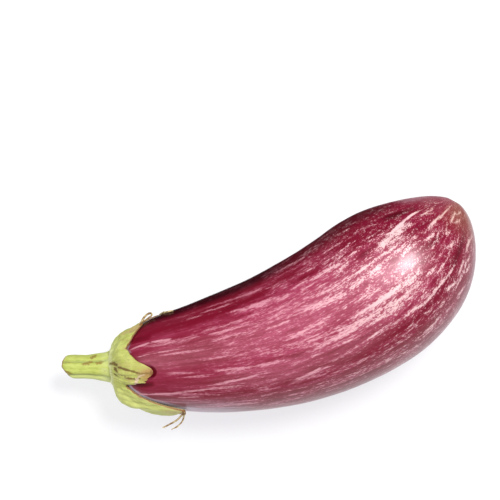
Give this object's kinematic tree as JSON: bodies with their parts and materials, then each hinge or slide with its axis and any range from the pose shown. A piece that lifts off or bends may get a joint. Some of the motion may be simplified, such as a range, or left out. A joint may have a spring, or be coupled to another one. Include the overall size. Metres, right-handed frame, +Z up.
{
  "type": "eggplant",
  "caption": "Whole striped purple eggplant lying on its side, with a curved club-shaped fruit, a fleshy green calyx of pointed sepals with dried tips, and a short ribbed cut stem.",
  "frame": {"origin": "on the surface the eggplant lies on, under the middle of its box", "axes": "+X towards the blossom end and -X towards the cut stem, +Z up from the flat spot that it lies on"},
  "size_m": [0.2086, 0.0785, 0.0729],
  "materials": {
    "fruit_skin": "smooth waxy crimson-purple skin with fine cream and pink streaks that run lengthwise",
    "calyx_green": "matt fleshy yellow-green with fine ribs, brown scars and dried tan tips",
    "stem_green": "matt yellow-green stalk with lengthwise ribs and a browned cut"
  },
  "bodies": {
    "root": {"fruit": "fruit_skin", "calyx": "calyx_green", "stem": "stem_green"}
  },
  "joints": []
}
